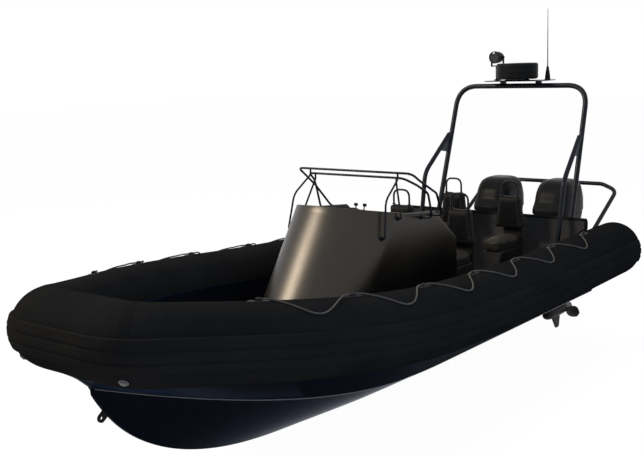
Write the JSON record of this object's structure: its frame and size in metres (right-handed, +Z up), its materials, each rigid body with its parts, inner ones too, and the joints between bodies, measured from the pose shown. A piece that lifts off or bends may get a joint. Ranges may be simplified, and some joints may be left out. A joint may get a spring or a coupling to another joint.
{
  "type": "rigid inflatable boat with centre console and twin outboards",
  "caption": "Black rigid inflatable boat with a raked metal console, straddle seats, a radar arch and outboard motors that tilt and steer.",
  "frame": {"origin": "on the waterline, on the centre line, amidships", "axes": "+X towards the bow, +Y to port, +Z up"},
  "size_m": [7.7884, 3.3454, 3.8773],
  "materials": {
    "gelcoat_black": "glossy gelcoat",
    "deck_grey": "matt non-slip",
    "collar_rubber": "matt coated fabric",
    "strake_rubber": "matt",
    "rope_grey": "laid rope",
    "valve_grey": "matt",
    "stainless": "brushed",
    "console_metal": "satin",
    "dark_plastic": "satin",
    "pipe_blue_black": "semi-gloss",
    "seat_pod_grey": "satin",
    "seat_vinyl": "satin vinyl",
    "motor_grey": "satin",
    "engine_block": "matt",
    "propeller_metal": "satin"
  },
  "bodies": {
    "boat": {"hull": "gelcoat_black", "deck_sole": "deck_grey", "transom": "gelcoat_black", "aft_bulkhead": "gelcoat_black", "collar_bow": "collar_rubber", "collar_port": "collar_rubber", "collar_starboard": "collar_rubber", "rub_strake": "strake_rubber", "lifeline_pads": "strake_rubber", "lifeline_port": "rope_grey", "lifeline_starboard": "rope_grey", "inflation_valves": "valve_grey", "bow_eye": "stainless", "stern_eyes": "stainless", "console_shell": "console_metal", "dashboard": "dark_plastic", "throttle": "dark_plastic", "console_rails": "pipe_blue_black", "console_rail_struts": "pipe_blue_black", "seat_pods": "seat_pod_grey", "seat_saddles": "seat_vinyl", "seat_backs": "seat_vinyl", "seat_hoops": "pipe_blue_black", "arch_hoop": "pipe_blue_black", "arch_braces": "pipe_blue_black", "arch_platform": "pipe_blue_black", "radar_dome": "dark_plastic", "whip_antenna": "dark_plastic", "searchlight_post": "dark_plastic", "stern_rail": "pipe_blue_black", "clamp_port": "motor_grey", "clamp_starboard": "motor_grey"},
    "helm": {"steering_wheel": "dark_plastic"},
    "light_yoke": {"searchlight_yoke": "dark_plastic"},
    "light_head": {"searchlight_head": "dark_plastic"},
    "swivel_port": {"swivel_port": "motor_grey"},
    "motor_port": {"leg_port": "motor_grey", "powerhead_port": "engine_block", "cowl_port": "motor_grey"},
    "prop_port": {"propeller_port": "propeller_metal"},
    "swivel_starboard": {"swivel_starboard": "motor_grey"},
    "motor_starboard": {"leg_starboard": "motor_grey", "powerhead_starboard": "engine_block", "cowl_starboard": "motor_grey"},
    "prop_starboard": {"propeller_starboard": "propeller_metal"}
  },
  "joints": [
    {"name": "tilt_port", "type": "hinge", "parent": "boat", "child": "swivel_port", "pos_m": [-3.44, 0.402, 0.52], "axis": [0, 1, 0], "range_deg": [0, 50]},
    {"name": "steer_port", "type": "hinge", "parent": "swivel_port", "child": "motor_port", "pos_m": [-3.522, 0.402, 0.4], "axis": [0, 0, 1], "range_deg": [-30, 30]},
    {"name": "prop_port_spin", "type": "hinge", "parent": "motor_port", "child": "prop_port", "pos_m": [-3.856, 0.402, -0.365], "axis": [1, 0, 0], "continuous": true},
    {"name": "tilt_starboard", "type": "hinge", "parent": "boat", "child": "swivel_starboard", "pos_m": [-3.44, -0.402, 0.52], "axis": [0, 1, 0], "range_deg": [0, 50]},
    {"name": "steer_starboard", "type": "hinge", "parent": "swivel_starboard", "child": "motor_starboard", "pos_m": [-3.522, -0.402, 0.4], "axis": [0, 0, 1], "range_deg": [-30, 30]},
    {"name": "prop_starboard_spin", "type": "hinge", "parent": "motor_starboard", "child": "prop_starboard", "pos_m": [-3.856, -0.402, -0.365], "axis": [1, 0, 0], "continuous": true},
    {"name": "helm_turn", "type": "hinge", "parent": "boat", "child": "helm", "pos_m": [-0.505, -0.33, 1.1125], "axis": [-0.8984, 0, 0.4392], "range_deg": [-720, 720]},
    {"name": "light_pan", "type": "hinge", "parent": "boat", "child": "light_yoke", "pos_m": [-3.56, -0.345, 2.6503], "axis": [0, 0, 1], "range_deg": [-170, 170]},
    {"name": "light_tilt", "type": "hinge", "parent": "light_yoke", "child": "light_head", "pos_m": [-3.56, -0.345, 2.7503], "axis": [0, 1, 0], "range_deg": [-20, 30]}
  ],
  "couplings": [
    {"joint": "steer_port", "follows": "steer_starboard", "ratio": 1},
    {"joint": "helm_turn", "follows": "steer_starboard", "ratio": 24}
  ]
}
